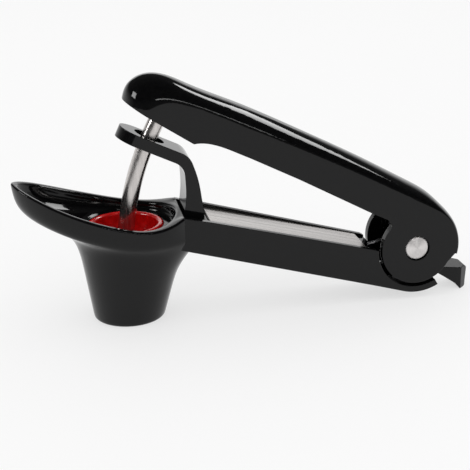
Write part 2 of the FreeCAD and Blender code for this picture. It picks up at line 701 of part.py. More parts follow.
def guide_arm():
    """The post that stands in the arm's channel, with the ring plate that the rod runs through."""
    body = new_body("guide_arm")
    reach = swing_radius + size.plate_reach
    slope = tangent(size.plate_angle)
    top_x, top_z = around_hinge(reach, size.plate_angle)
    low_x = top_x - size.plate_wall * sine(size.plate_angle)
    low_z = top_z - size.plate_wall * cosine(size.plate_angle)
    shoulder_x, throat_x = size.post_shoulder_x, size.post_throat_x
    shoulder_z = top_z - (shoulder_x - top_x) * slope
    throat_z = low_z - (throat_x - low_x) * slope
    base = size.foot_seat_height
    sketch = sketch_on(body, "guide_side", "XZ_Plane")
    foot_top = base + size.foot_rise
    draw_outline(sketch, [
        (top_x, top_z), (shoulder_x, shoulder_z), (size.post_waist_x, size.post_waist_height),
        (size.post_back_x, size.post_heel_height), (size.post_back_x, base), (size.post_front_x, base),
        (size.post_front_x, foot_top), (size.post_knee_x, size.post_knee_height), (throat_x, throat_z),
        (low_x, low_z)])
    pad(body, sketch, size.guide_width)
    doc.recompute()
    bends = ((shoulder_x, shoulder_z, size.post_shoulder_radius),
             (throat_x, throat_z, size.post_inner_radius),
             (size.post_waist_x, size.post_waist_height, size.post_bend),
             (size.post_back_x, size.post_heel_height, size.post_bend),
             (size.post_knee_x, size.post_knee_height, size.post_bend))
    for number, (x, z, radius) in enumerate(bends):
        round_edges(body, f"guide_bend{number}", radius, lambda e: near(e, x, z))
    foot = sketch_on(body, "guide_foot", "XY_Plane", (None, None, base))
    foot_half = as_length(arm_half_width(size.post_back_x.value) - size.arm_wall.value) - size.foot_side_gap
    front, back = size.tray_cut_x + size.channel_play / 2, size.post_back_x + 0.8
    draw_outline(foot, [(front, -foot_half), (back, -foot_half), (back, foot_half), (front, foot_half)])
    pad(body, foot, size.foot_rise, midplane=False)
    hole_x, hole_z = around_hinge(swing_radius, size.plate_angle)
    turned = (FreeCAD.Vector(0, 1, 0), size.plate_angle.value)
    hole = sketch_on(body, "guide_hole", "XY_Plane", (hole_x, 0, hole_z), turned)
    draw_circle(hole, 0, 0, size.guide_hole_radius)
    pocket(body, hole, 4 * size.plate_wall)
    nose = sketch_on(body, "guide_nose", "XY_Plane", (hole_x, 0, hole_z), turned)
    half = size.guide_width / 2
    inner = size.plate_reach - half
    draw_outline(nose, [(-inner, half, -half), (-size.plate_reach, 0, -half), (-inner, -half),
                        (-size.plate_reach - 9, -half), (-size.plate_reach - 9, half)])
    pocket(body, nose, 6 * size.plate_wall)
    for side in (-1, 1):
        bore = sketch_on(body, "guide_bore" + ("A" if side < 0 else "B"), "XY_Plane", (None, None, base))
        draw_circle(bore, screw_x, side * size.guide_screw_pitch / 2, size.guide_screw_radius)
        pocket(body, bore, size.guide_screw_depth + 0.3, midplane=False, reverse=True)
    return body


def steel_strip():
    """The brushed strip let into the top of the arm."""
    front, back = size.strip_front_x.value, size.strip_back_x.value
    side = side_solid([(front, strip_line(front)), (back, strip_line(back)),
                       (back, strip_line(back, size.strip_wall.value)),
                       (front, strip_line(front, size.strip_wall.value))], 30)
    clear = size.arm_wall.value + size.strip_gap.value
    plan = plan_solid([(front, arm_half_width(front) - clear), (back, arm_half_width(back) - clear)], -5, 70)
    return solid_feature("steel_strip", side.common(plan))


def turned_piece(name, corners, x, y, z):
    """A piece turned about an axis along Y. Corners are (radius, distance along Y)."""
    body = new_body(name)
    sketch = sketch_on(body, name + "_section", "XY_Plane")
    draw_outline(sketch, corners)
    revolve(body, sketch)
    for axis, distance in zip("xyz", (x, y, z)):
        body.setExpression(f"Placement.Base.{axis}", as_length(distance).text)
    return body


def hinge_pin():
    """The pin with its broad turned head on the near side."""
    face = -half_width
    return turned_piece("hinge_pin", [
        (0, face + 0.1), (size.head_radius - 0.5, face + 0.1), (size.head_radius, face + 0.5),
        (size.head_radius, face + size.head_wall), (size.pin_radius, face + size.head_wall),
        (size.pin_radius, half_width - size.head_wall - 0.05), (0, half_width - size.head_wall - 0.05)],
        size.hinge_x, 0, size.hinge_height)


def hinge_cap():
    """The matching head on the far side, screwed onto the pin's end."""
    face = half_width
    return turned_piece("hinge_cap", [
        (0, face - size.head_wall), (size.head_radius, face - size.head_wall), (size.head_radius, face - 0.5),
        (size.head_radius - 0.5, face - 0.1), (0, face - 0.1)], size.hinge_x, 0, size.hinge_height)


def hinge_washers():
    rings = []
    near_y = -ear_outside - size.side_play - size.washer_wall
    for side, y in (("near", near_y), ("far", ear_outside + size.side_play)):
        rings.append(tube_along_y("washer_" + side, size.pin_radius + 0.04, size.washer_radius, y,
                                  size.washer_wall))
    return gather("hinge_washers", rings)


def lever_bushes():
    rings = []
    wall = size.cheek_wall - size.head_wall - 0.1
    for side, y in (("near", -cheek_inside - wall), ("far", cheek_inside)):
        rings.append(tube_along_y("bush_" + side, size.pin_radius + size.running_play,
                                  size.pin_radius + size.bush_wall, y, wall))
    return gather("lever_bushes", rings)


def spring_sleeve():
    length = 2 * ear_inside - 0.2
    return tube_along_y("spring_sleeve", size.pin_radius + 0.03, size.pin_radius + size.sleeve_wall,
                        -length / 2, length)


def tangent_turn(x, z, side):
    """The angle on the spring's coil where a straight leg from this point touches it."""
    across, up = x - size.hinge_x.value, z - size.hinge_height.value
    reach = math.hypot(across, up)
    turn = math.degrees(math.atan2(up, across))
    return (turn + side * math.degrees(math.acos(size.spring_radius.value / reach))) % 360


def torsion_spring():
    """Coils about the sleeve, one leg lying on the arm's end and one leg under the lever's roof."""
    wire, radius = size.spring_wire.value, size.spring_radius.value
    floor_x = size.spring_floor_x.value
    floor_z = strip_line(floor_x, size.strip_wall.value) + wire / 2 + 0.03
    roof_x, roof_z = size.spring_roof_x.value, size.spring_roof_height.value
    first, last = tangent_turn(roof_x, roof_z, 1), tangent_turn(floor_x, floor_z, -1)
    turns = 4 + ((last - first) % 360) / 360
    length = turns * size.spring_pitch.value
    helix = Part.makeHelix(size.spring_pitch.value, length, radius)
    start = Part.Wire(Part.makeCircle(wire / 2, FreeCAD.Vector(radius, 0, 0), FreeCAD.Vector(0, 1, 0)))
    coil = Part.Wire(helix).makePipeShell([start], True, True)
    coil.rotate(FreeCAD.Vector(), FreeCAD.Vector(1, 0, 0), 90)
    coil.rotate(FreeCAD.Vector(), FreeCAD.Vector(0, 1, 0), -first)
    coil.translate(point(size.hinge_x, length / 2, size.hinge_height))
    whole = coil
    for turn, x, z, y in ((first, roof_x, roof_z, length / 2), (last, floor_x, floor_z, -length / 2)):
        touch = FreeCAD.Vector(size.hinge_x.value + radius * math.cos(math.radians(turn)), y,
                               size.hinge_height.value + radius * math.sin(math.radians(turn)))
        leg = FreeCAD.Vector(x, y, z) - touch
        whole = whole.fuse(Part.makeCylinder(wire / 2, leg.Length, touch, leg))
        whole = whole.fuse(Part.makeSphere(wire / 2 * 1.001, touch))
    return solid_feature("torsion_spring", whole)


# Lever shell. Each row is a pair of points in the side view, measured from the hinge towards the nose and
# upwards: the crest on the middle plane, and the level where the flat sides begin.

LEVER_ROWS = (
    (114.6, 65.4, 104.1, 58.5), (113.8, 68.4, 104.0, 60.0), (111.6, 71.5, 103.6, 61.4),
    (108.3, 73.6, 102.6, 62.7), (104.2, 74.45, 101.0, 63.7), (98.3, 73.55, 97.8, 64.4),
    (90.3, 69.95, 92.2, 63.7), (73.4, 62.45, 75.85, 56.85), (46.6, 49.55, 49.0, 44.2),
    (18.7, 35.15, 20.85, 30.3), (3.0, 26.4, 5.0, 22.1), (-2.5, 23.3, -0.6, 19.2),
    (-7.2, 20.1, -5.5, 16.6), (-10.8, 16.8, -9.5, 14.4), (-14.8, 12.6, -13.2, 11.0),
    (-17.9, 7.4, -15.75, 6.5), (-19.3, 1.35, -16.95, 1.2),
)
LEVER_NOSE_ROWS = 5
LEVER_CUSP = ((89.7, 48.85), (85.5, 49.0), (81.0, 47.9), (76.1, 45.9), (68.4, 42.2))
LEVER_LOWER_EDGE = ((68.4, 42.2), (48.95, 32.3), (20.1, 16.7), (12.9, 13.2), (11.6, 11.4), (8.0, 4.0))
LEVER_DRAWN_SWING = 116.466
LEVER_DRAWN_BACK = 19.4
LEVER_NOSE_MIDDLE = (100.5, 61.6)
LEVER_HOLLOW_FLOOR = ((60, 5), (16, -8), (4, -8))


def lever_point(ahead, up):
    """A point of the shell: its length follows the rod's swing, and its heel follows the back's radius."""
    ahead_scale = swing_radius.value / LEVER_DRAWN_SWING
    back_scale = size.back_radius.value / LEVER_DRAWN_BACK
    scale = ahead_scale if ahead > 0 else back_scale
    return FreeCAD.Vector(size.hinge_x.value - ahead * scale, 0, size.hinge_height.value + up * scale)


def lever_rows(side, roof):
    """The rows as vectors, drawn inwards by the thickness of the sides and of the roof."""
    nose = lever_point(*LEVER_NOSE_MIDDLE)
    rows = []
    for number, (crest_x, crest_z, side_x, side_z) in enumerate(LEVER_ROWS):
        crest, level = lever_point(crest_x, crest_z), lever_point(side_x, side_z)
        inward = (nose - crest if number < LEVER_NOSE_ROWS else level - crest).normalize()
        if number < LEVER_NOSE_ROWS:
            level += FreeCAD.Vector(0.8 * side, 0, 0)
            crest += inward * roof
        else:
            crest += inward * roof
            level += inward * (0.55 * roof)
        rows.append((crest, level))
    turn = math.radians(size.back_end_angle.value)
    outline = size.back_radius.value - roof
    end = FreeCAD.Vector(math.cos(turn), 0, -math.sin(turn))
    hinge = point(size.hinge_x, 0, size.hinge_height)
    rows.append((hinge + end * outline, hinge + end * (outline - (2.4 if roof == 0 else 1.4))))
    if roof > 0:
        drop = FreeCAD.Vector(0.6, 0, -5)
        rows.insert(0, (rows[0][0] + drop, rows[0][1] + drop))
        turn = math.radians(size.back_end_angle.value + 22)
        end = FreeCAD.Vector(math.cos(turn), 0, -math.sin(turn))
        rows.append((hinge + end * outline, hinge + end * (outline - 1.4)))
    return rows


def even_rows(rows, count):
    """The same two lines through the rows, at evenly spaced places, so that the surface stays smooth."""
    steps = [0.0]
    for (crest, level), (next_crest, next_level) in zip(rows, rows[1:]):
        steps.append(steps[-1] + 0.5 * ((next_crest - crest).Length + (next_level - level).Length))
    lines = []
    for which in (0, 1):
        line = Part.BSplineCurve()
        line.interpolate(Points=[row[which] for row in rows], Parameters=steps)
        lines.append([line.value(steps[-1] * number / (count - 1)) for number in range(count)])
    return list(zip(*lines))


def lever_blank(half, rows, lower):
    """A solid under a crowned surface, with flat sides down to the lower edges drawn in the side view."""
    grid = []
    rows = even_rows(rows, 44)
    for crest, level in rows:
        row = []
        for step in range(13):
            turn = math.pi * step / 12
            place = level + (crest - level) * math.sin(turn)
            row.append(FreeCAD.Vector(place.x, -half * math.cos(turn), place.z))
        grid.append(row)
    surface = Part.BSplineSurface()
    surface.interpolate(grid)
    crown = surface.toShape()
    faces = [crown]
    start, end = rows[0][1], rows[-1][1]
    sides = {}
    across = []
    for edge in crown.Edges:
        box = edge.BoundBox
        if box.YLength < 0.01:
            sides[-1 if box.YMin < 0 else 1] = edge
        else:
            across.append(edge)
    first, last = lower[0].valueAt(lower[0].FirstParameter), lower[-1].valueAt(lower[-1].LastParameter)
    for side, edge in sides.items():
        shift = FreeCAD.Vector(0, side * half, 0)
        line = [Part.makeLine(FreeCAD.Vector(a.x, 0, a.z), FreeCAD.Vector(b.x, 0, b.z)) for a, b in
                ((start, first), (last, end))] + lower
        faces.append(Part.Face(Part.Wire(Part.__sortEdges__([edge] + [e.translated(shift) for e in line]))))
    for edge in lower:
        faces.append(edge.translated(FreeCAD.Vector(0, -half, 0)).extrude(FreeCAD.Vector(0, 2 * half, 0)))
    for place, inner in ((start, first), (end, last)):
        edge = min(across, key=lambda e: min((v.Point - FreeCAD.Vector(place.x, half, place.z)).Length
                                             for v in e.Vertexes))
        corners = [FreeCAD.Vector(place.x, -half, place.z), FreeCAD.Vector(inner.x, -half, inner.z),
                   FreeCAD.Vector(inner.x, half, inner.z), FreeCAD.Vector(place.x, half, place.z)]
        wire = Part.Wire(Part.__sortEdges__([edge] + Part.makePolygon(corners).Edges))
        faces.append(Part.Face(wire))
    return sewn_solid(faces)


def straight_edges(points):
    return [Part.makeLine(a, b) for a, b in zip(points, points[1:])]


def lever_outside():
    turn = math.radians(size.cheek_end_angle.value)
    heel = 0.98 * size.hub_radius.value
    heel_end = point(size.hinge_x + heel * math.cos(turn), 0, size.hinge_height - heel * math.sin(turn))
    rows = lever_rows(0, 0)
    back_end = rows[-1][1] + (rows[-1][1] - rows[-1][0]).normalize() * size.back_land.value
    first = (rows[0][1] - rows[0][0]).normalize()
    cusp = [lever_point(*corner) for corner in LEVER_CUSP]
    cusp[0] = rows[0][1] + first * (cusp[0] - rows[0][1]).Length
    bend = Part.BSplineCurve()
    bend.interpolate(cusp)
    straight = [lever_point(*corner) for corner in LEVER_LOWER_EDGE]
    edges = straight_edges(straight + [heel_end, back_end])
    return lever_blank(half_width.value, rows, [bend.toShape()] + edges)


def lever_hollow(fit=0.0):
    """The room inside the shell, open below. With a fit it is that much smaller, for the carrier."""
    rows = lever_rows(size.lever_wall.value + fit, size.roof_wall.value + fit)
    turn = math.radians(size.back_end_angle.value + 22)
    inner = size.pin_radius.value + size.bush_wall.value + size.lever_wall.value
    last = point(size.hinge_x + inner * math.cos(turn), 0, size.hinge_height - inner * math.sin(turn))
    first = rows[0][1] + (rows[0][1] - rows[0][0]).normalize() * (6 * size.lever_wall.value)
    floor = [lever_point(ahead, up) for ahead, up in LEVER_HOLLOW_FLOOR]
    lower = straight_edges([first] + floor + [last])
    return lever_blank(half_width.value - size.lever_wall.value - fit, rows, lower)


def lever_shell():
    shell = lever_outside().cut(lever_hollow())
    hub_room = hinge_disc(size.back_radius - size.back_wall_gap, -cheek_inside, cheek_inside)
    for side in (-1, 1):
        y_from, y_to = sorted((side * cheek_inside.value, side * half_width.value))
        shell = shell.fuse(hinge_disc(size.hub_radius, y_from, y_to))
    shell = shell.cut(hub_room)
    bush = size.pin_radius + size.bush_wall + 0.02
    shell = shell.cut(hinge_disc(bush, -half_width - 1, half_width + 1))
    for side in (-1, 1):
        y_from, y_to = sorted((side * (half_width.value - size.head_wall.value - 0.1), side * 20))
        shell = shell.cut(hinge_disc(size.head_radius + size.head_gap, y_from, y_to))
    for place in carrier_screw_places():
        axis = carrier_axis()
        shell = shell.cut(Part.makeCylinder(size.small_screw_radius.value + 0.02,
                                            size.small_screw_length.value + 0.1, place, axis))
    return solid_feature("lever_shell", shell.removeSplitter())


def rod_point(angle, radius=None):
    turn = math.radians(as_length(angle).value)
    reach = swing_radius.value if radius is None else radius
    return point(size.hinge_x - reach * math.cos(turn), 0, size.hinge_height + reach * math.sin(turn))


def carrier_axis():
    """The way the rod runs where the carrier holds it, pointing up into the roof."""
    turn = math.radians(size.carrier_floor_angle.value)
    return FreeCAD.Vector(math.sin(turn), 0, math.cos(turn))


def carrier_screw_places():
    place = rod_point(size.carrier_floor_angle, swing_radius.value - size.carrier_screw_setback.value)
    return [place + FreeCAD.Vector(0, side * 5.5, 0) for side in (-1, 1)]


def rod_carrier():
    """A thick plate under the lever's roof, with a boss that grips the top of the rod."""
    ahead = swing_radius.value + size.carrier_front.value
    behind = swing_radius.value - size.carrier_back.value
    low = size.carrier_floor_angle.value
    corners = [rod_point(low, behind), rod_point(low, ahead), rod_point(low + 6, ahead + 2),
               rod_point(low + 6, behind - 2)]
    block = side_solid([(c.x, c.z) for c in corners], 20).common(lever_hollow(size.carrier_fit.value))
    end = rod_point(size.boss_end_angle)
    boss = Part.makeCylinder(size.boss_radius.value, 9, end, carrier_axis()).common(
        lever_hollow(size.carrier_fit.value))
    whole = block.fuse(boss)
    whole = whole.cut(rod_shape(size.rod_radius.value + size.rod_fit.value, size.rod_tip_angle.value, 0.15))
    pin = rod_point(size.rod_pin_angle)
    whole = whole.cut(Part.makeCylinder(size.rod_pin_radius.value + 0.01, 40, pin - FreeCAD.Vector(0, 20, 0),
                                        FreeCAD.Vector(0, 1, 0)))
    for place in carrier_screw_places():
        whole = whole.cut(Part.makeCylinder(size.small_screw_radius.value + 0.02, 40,
                                            place - carrier_axis() * 20, carrier_axis()))
    return solid_feature("rod_carrier", whole.removeSplitter())


def rod_shape(radius, low_angle, past_top):
    """The rod follows a circle about the hinge, so that it slides through the ring without tipping."""
    low = rod_point(low_angle)
    turn = math.radians(low_angle)
    along = FreeCAD.Vector(math.sin(turn), 0, math.cos(turn))
    circle = Part.Face(Part.Wire(Part.makeCircle(radius, low, along)))
    sweep = size.rod_top_angle.value + past_top - low_angle
    return circle.revolve(point(size.hinge_x, 0, size.hinge_height), FreeCAD.Vector(0, 1, 0), sweep)


def punch_rod():
    """The bent steel rod that pushes the stone out."""
    rod = rod_shape(size.rod_radius.value, size.rod_tip_angle.value, 0)
    pin = rod_point(size.rod_pin_angle)
    rod = rod.cut(Part.makeCylinder(size.rod_pin_radius.value + 0.01, 40, pin - FreeCAD.Vector(0, 20, 0),
                                    FreeCAD.Vector(0, 1, 0)))
    tip = [e for e in rod.Edges if (middle_of(e) - rod_point(size.rod_tip_angle)).Length
           < size.rod_radius.value * 1.2]
    rod = rod.makeFillet(0.6, tip)
    return solid_feature("punch_rod", rod)


def rod_pin():
    place = rod_point(size.rod_pin_angle)
    length = 2 * size.boss_radius.value - 0.6
    pin = Part.makeCylinder(size.rod_pin_radius.value, length, place - FreeCAD.Vector(0, length / 2, 0),
                            FreeCAD.Vector(0, 1, 0))
    return solid_feature("rod_pin", pin)


def screw_shape(base, axis, shaft_radius, shaft, head_radius, head_wall):
    """A screw whose head sits at base and whose shaft runs along the axis, with a cross in the head."""
    head = Part.makeCylinder(head_radius, head_wall, base - axis * head_wall, axis)
    whole = head.fuse(Part.makeCylinder(shaft_radius, shaft, base, axis))
    for turn in (0, 90):
        slot = Part.makeBox(1.3 * head_radius, 0.22 * head_radius, 0.55 * head_wall)
        slot.translate(FreeCAD.Vector(-0.65 * head_radius, -0.11 * head_radius, 0))
        slot.rotate(FreeCAD.Vector(), FreeCAD.Vector(0, 0, 1), turn)
        slot.Placement = FreeCAD.Placement(base - axis * head_wall * 1.001,
                                           FreeCAD.Rotation(FreeCAD.Vector(0, 0, 1), axis)) * slot.Placement
        whole = whole.cut(slot)
    return whole


def carrier_screws():
    solids = []
    floor = carrier_axis()
    for place in carrier_screw_places():
        solids.append(screw_shape(place, floor, size.small_screw_radius.value,
                                  size.small_screw_length.value,
                                  size.small_head_radius.value, size.small_head_wall.value))
    return solid_feature("carrier_screws", Part.makeCompound(solids))


def guide_screws():
    solids = []
    up = FreeCAD.Vector(0, 0, 1)
    shaft = size.foot_seat_height.value + size.guide_screw_depth.value - guide_screw_bottom.value
    for side in (-1, 1):
        base = FreeCAD.Vector(screw_x.value, side * size.guide_screw_pitch.value / 2,
                              guide_screw_bottom.value + size.guide_head_wall.value)
        solids.append(screw_shape(base, up, size.guide_screw_radius.value,
                                  shaft - size.guide_head_wall.value, size.guide_screw_head.value,
                                  size.guide_head_wall.value))
    return solid_feature("guide_screws", Part.makeCompound(solids))


def stop_screw():
    """The screw under the hinge whose end stands in the lock tab's slot."""
    base = point(size.stop_screw_x, 0, stop_head_top)
    return solid_feature("stop_screw", screw_shape(
        base, FreeCAD.Vector(0, 0, 1), size.stop_screw_radius.value,
        tab_top.value + 0.4 - stop_head_top.value, size.stop_head_radius.value,
        size.stop_head_wall.value))


def lock_tab():
    """The thumb tab: a slotted tongue that slides under the hinge, and a broad turned-down end."""
    body = new_body("lock_tab")
    side = sketch_on(body, "tab_side", "XZ_Plane")
    back = size.tab_back_x
    draw_outline(side, [
        (size.tongue_front_x, tab_bottom), (size.tongue_front_x, tab_top),
        (back, tab_top - 0.4), (back - 0.6, 0), (back - size.tab_foot_wall, 0),
        (back - size.tab_foot_wall - 1.9, 2.3), (size.tab_neck_x, tab_bottom - size.tab_wedge_drop),
        (size.tab_neck_x - size.tab_wedge_reach, tab_bottom)])
    pad(body, side, size.tab_width)
    round_edges(body, "tab_brow", 1.6, lambda e: near(e, back, tab_top - 0.4))
    round_edges(body, "tab_heel", 0.9, lambda e: near(e, back - 0.6, 0))
    plan = sketch_on(body, "tab_plan", "XY_Plane")
    half, narrow = size.tab_width / 2, size.tongue_width / 2
    bow_x = back - size.tab_bow
    for side_sign in (-1, 1):
        draw_outline(plan, [
            (size.tongue_front_x - 1, side_sign * narrow), (size.tab_neck_x, side_sign * narrow),
            (size.tab_neck_x + 5.5, side_sign * (half - 0.4)), (bow_x, side_sign * (half - 0.2)),
            (back - 0.4, side_sign * 3.0), (back + 1, side_sign * 2.4), (back + 1, side_sign * (half + 1)),
            (size.tongue_front_x - 1, side_sign * (half + 1))])
    pocket(body, plan, 4 * tab_top)
    slot = sketch_on(body, "tab_slot", "XY_Plane")
    play = size.stop_screw_radius + size.stop_slot_play
    front = size.stop_screw_x - play
    end = size.stop_screw_x + size.tab_travel + play
    draw_outline(slot, [(front, -play), (end, -play), (end, play), (front, play)])
    pocket(body, slot, 4 * tab_top)
    return body


def main():
    made = {}
    made["main_frame"] = solid_feature("main_frame", main_frame())
    made["silicone_cup"] = silicone_cup()
    made["guide_arm"] = guide_arm()
    made["guide_screws"] = guide_screws()
    made["steel_strip"] = steel_strip()
    made["hinge_pin"] = hinge_pin()
    made["hinge_cap"] = hinge_cap()
    made["hinge_washers"] = hinge_washers()
    made["spring_sleeve"] = spring_sleeve()
    made["torsion_spring"] = torsion_spring()
    made["stop_screw"] = stop_screw()
    made["lever_shell"] = lever_shell()
    made["rod_carrier"] = rod_carrier()
    made["carrier_screws"] = carrier_screws()
    made["punch_rod"] = punch_rod()
    made["rod_pin"] = rod_pin()
    made["lever_bushes"] = lever_bushes()
    made["lock_tab"] = lock_tab()
    doc.recompute()
    return made


def check_and_write(made):
    for item in doc.Objects:
        if "Invalid" in item.State or "Error" in item.State:
            raise RuntimeError(f"{item.Name} failed: {item.State}")
    os.makedirs("parts", exist_ok=True)
    for name, item in made.items():
        shape = item.Shape
        if shape.isNull() or not shape.isValid() or not shape.Solids:
            raise RuntimeError(f"{name} has no valid solid")
        shape.exportStep(f"parts/{name}.step")
        box = shape.BoundBox
        print(f"{name}: {len(shape.Solids)} solids, {shape.Volume:.0f} mm3, "
              f"x {box.XMin:.1f} {box.XMax:.1f} y {box.YMin:.1f} {box.YMax:.1f} z {box.ZMin:.1f} {box.ZMax:.1f}")


check_and_write(main())
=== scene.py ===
import math

import bpy
import numpy as np
from mathutils import Matrix, Vector


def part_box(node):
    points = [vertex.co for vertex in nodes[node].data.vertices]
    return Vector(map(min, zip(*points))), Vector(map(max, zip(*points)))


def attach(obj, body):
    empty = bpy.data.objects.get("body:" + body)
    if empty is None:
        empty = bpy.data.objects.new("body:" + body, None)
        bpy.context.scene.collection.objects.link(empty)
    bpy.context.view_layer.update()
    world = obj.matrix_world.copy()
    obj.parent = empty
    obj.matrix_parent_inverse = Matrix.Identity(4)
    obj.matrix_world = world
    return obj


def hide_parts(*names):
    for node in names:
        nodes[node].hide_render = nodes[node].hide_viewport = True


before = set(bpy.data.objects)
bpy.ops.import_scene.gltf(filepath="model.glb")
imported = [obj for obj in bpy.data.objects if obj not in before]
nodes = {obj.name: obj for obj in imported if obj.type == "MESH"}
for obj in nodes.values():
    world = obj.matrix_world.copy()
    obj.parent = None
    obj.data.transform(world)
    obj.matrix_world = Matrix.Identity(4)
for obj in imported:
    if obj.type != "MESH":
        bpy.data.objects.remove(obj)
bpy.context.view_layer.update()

scene = bpy.context.scene
mm = 0.001
noiseBand = (0.3, 0.7)  # nearly all of a noise texture's values lie in here


# A material starts as one shader and its node tree; the helpers below each add one node.
def newMaterial(name):
    material = bpy.data.materials.new(name)
    material.use_nodes = True
    tree = material.node_tree
    return material, tree, tree.nodes["Principled BSDF"]


def setSockets(shader, sockets):
    for name, number in sockets.items():
        shader.inputs[name].default_value = number


def objectPlace(tree, stretch=(1, 1, 1), centre=(0, 0, 0)):
    coords = tree.nodes.new("ShaderNodeTexCoord")
    mapping = tree.nodes.new("ShaderNodeMapping")
    mapping.inputs["Scale"].default_value = stretch
    mapping.inputs["Location"].default_value = [-c * s for c, s in zip(centre, stretch)]
    tree.links.new(coords.outputs["Object"], mapping.inputs["Vector"])
    return mapping.outputs["Vector"]


def noiseOn(tree, place, scale, detail=3.0, roughness=0.5):
    noise = tree.nodes.new("ShaderNodeTexNoise")
    setSockets(noise, {"Scale": scale, "Detail": detail, "Roughness": roughness})
    tree.links.new(place, noise.inputs["Vector"])
    return noise.outputs["Fac"]


def spread(tree, fac, low, high, band=noiseBand):
    node = tree.nodes.new("ShaderNodeMapRange")
    setSockets(node, {"From Min": band[0], "From Max": band[1], "To Min": low, "To Max": high})
    tree.links.new(fac, node.inputs["Value"])
    return node.outputs["Result"]


def tinted(tree, fac, dark, light):
    ramp = tree.nodes.new("ShaderNodeValToRGB")
    for element, place, colour in zip(ramp.color_ramp.elements, noiseBand, (dark, light)):
        element.position = place
        element.color = (*colour, 1)
    tree.links.new(fac, ramp.inputs["Fac"])
    return ramp.outputs["Color"]


def bumped(tree, height, strength, depth, below=None):
    bump = tree.nodes.new("ShaderNodeBump")
    setSockets(bump, {"Strength": strength, "Distance": depth})
    tree.links.new(height, bump.inputs["Height"])
    if below is not None:
        tree.links.new(below, bump.inputs["Normal"])
    return bump.outputs["Normal"]


def softEdges(tree, radius, samples=4):
    bevel = tree.nodes.new("ShaderNodeBevel")
    bevel.samples = samples
    bevel.inputs["Radius"].default_value = radius
    return bevel.outputs["Normal"]


def mathOn(tree, first, second, operation):
    node = tree.nodes.new("ShaderNodeMath")
    node.operation = operation
    for socket, given in zip(node.inputs, (first, second)):
        if isinstance(given, (int, float)):
            socket.default_value = given
        else:
            tree.links.new(given, socket)
    return node.outputs["Value"]


def raysOf(tree):
    # the rays from the camera, and those that mirrors and glass send on
    path = tree.nodes.new("ShaderNodeLightPath")
    shine = mathOn(tree, path.outputs["Is Glossy Ray"], path.outputs["Is Transmission Ray"], "MAXIMUM")
    return path.outputs["Is Camera Ray"], shine


def wear(mesh, material):
    mesh.materials.clear()
    mesh.materials.append(material)


# The black mouldings: high gloss, edges softened by the mould, long faint sink waves, fine polish haze.
glossBlack = {"dark": (0.0022, 0.0022, 0.0024), "light": (0.0034, 0.0034, 0.0036), "specular": 0.3,
              "ior": 1.46, "roughness": (0.035, 0.085), "edge": 0.45 * mm, "haze": 700, "wave": 45,
              "waveDepth": 0.00003, "waveRelief": 0.5,
              "grain": 4200, "grainDepth": 0.000006, "grainRelief": 0.08}


def glossPlastic(name, look):
    material, tree, shader = newMaterial(name)
    setSockets(shader, {"IOR": look["ior"], "Specular IOR Level": look["specular"]})
    place = objectPlace(tree)
    haze = noiseOn(tree, place, look["haze"], 4)
    tree.links.new(spread(tree, haze, *look["roughness"]), shader.inputs["Roughness"])
    tree.links.new(tinted(tree, haze, look["dark"], look["light"]), shader.inputs["Base Color"])
    normal = softEdges(tree, look["edge"])
    wave = noiseOn(tree, place, look["wave"], 1)
    normal = bumped(tree, wave, look["waveRelief"], look["waveDepth"], normal)
    grain = noiseOn(tree, place, look["grain"], 2)
    normal = bumped(tree, grain, look["grainRelief"], look["grainDepth"], normal)
    tree.links.new(normal, shader.inputs["Normal"])
    return material


shellBlack = glossPlastic("shellBlack", glossBlack)
frameBlack = glossPlastic("frameBlack", glossBlack)
guideBlack = glossPlastic("guideBlack", {**glossBlack, "edge": 0.4 * mm})
tabBlack = glossPlastic("tabBlack", {**glossBlack, "edge": 0.6 * mm, "roughness": (0.12, 0.2)})


# Drawn or brushed metal: scratches are noise pulled out one way, broad streaks under fine ones.
rodLook = {"dark": (0.36, 0.335, 0.325), "light": (0.76, 0.73, 0.71), "roughness": (0.16, 0.28),
           "along": (1, 1, 0.02), "fine": 2600, "broad": 500, "depth": 0.000005, "relief": 0.35}
stripLook = {"dark": (0.16, 0.15, 0.145), "light": (0.58, 0.555, 0.54), "roughness": (0.18, 0.32),
             "along": (0.012, 1, 0.012), "fine": 3200, "broad": 420, "depth": 0.000012, "relief": 0.35}
screwLook = {"dark": (0.34, 0.34, 0.35), "light": (0.6, 0.6, 0.6), "roughness": (0.25, 0.42),
             "along": (1, 1, 1), "fine": 1500, "broad": 300, "depth": 0.00001, "relief": 0.35}
springLook = {**screwLook, "dark": (0.26, 0.26, 0.28), "light": (0.5, 0.5, 0.5), "depth": 0.000004}


def brushedMetal(name, look):
    material, tree, shader = newMaterial(name)
    setSockets(shader, {"Metallic": 1.0})
    place = objectPlace(tree, look["along"])
    fine = noiseOn(tree, place, look["fine"], 4, 0.65)
    broad = noiseOn(tree, place, look["broad"], 2)
    streaks = mathOn(tree, mathOn(tree, fine, broad, "ADD"), 0.5, "MULTIPLY")  # the mean of the two
    tree.links.new(tinted(tree, streaks, look["dark"], look["light"]), shader.inputs["Base Color"])
    tree.links.new(spread(tree, fine, *look["roughness"]), shader.inputs["Roughness"])
    tree.links.new(bumped(tree, fine, look["relief"], look["depth"]), shader.inputs["Normal"])
    return material


rodSteel = brushedMetal("rodSteel", rodLook)
stripSteel = brushedMetal("stripSteel", stripLook)
screwSteel = brushedMetal("screwSteel", screwLook)
springSteel = brushedMetal("springSteel", springLook)


# Spun metal: the polish runs in rings round the pin, so the shine stretches across them into wedges.
pinLook = {"dark": (0.66, 0.64, 0.63), "light": (0.84, 0.81, 0.80), "roughness": (0.34, 0.44),
           "anisotropic": 0.9, "rings": 5200, "ringDepth": 0.000004, "relief": 0.3}


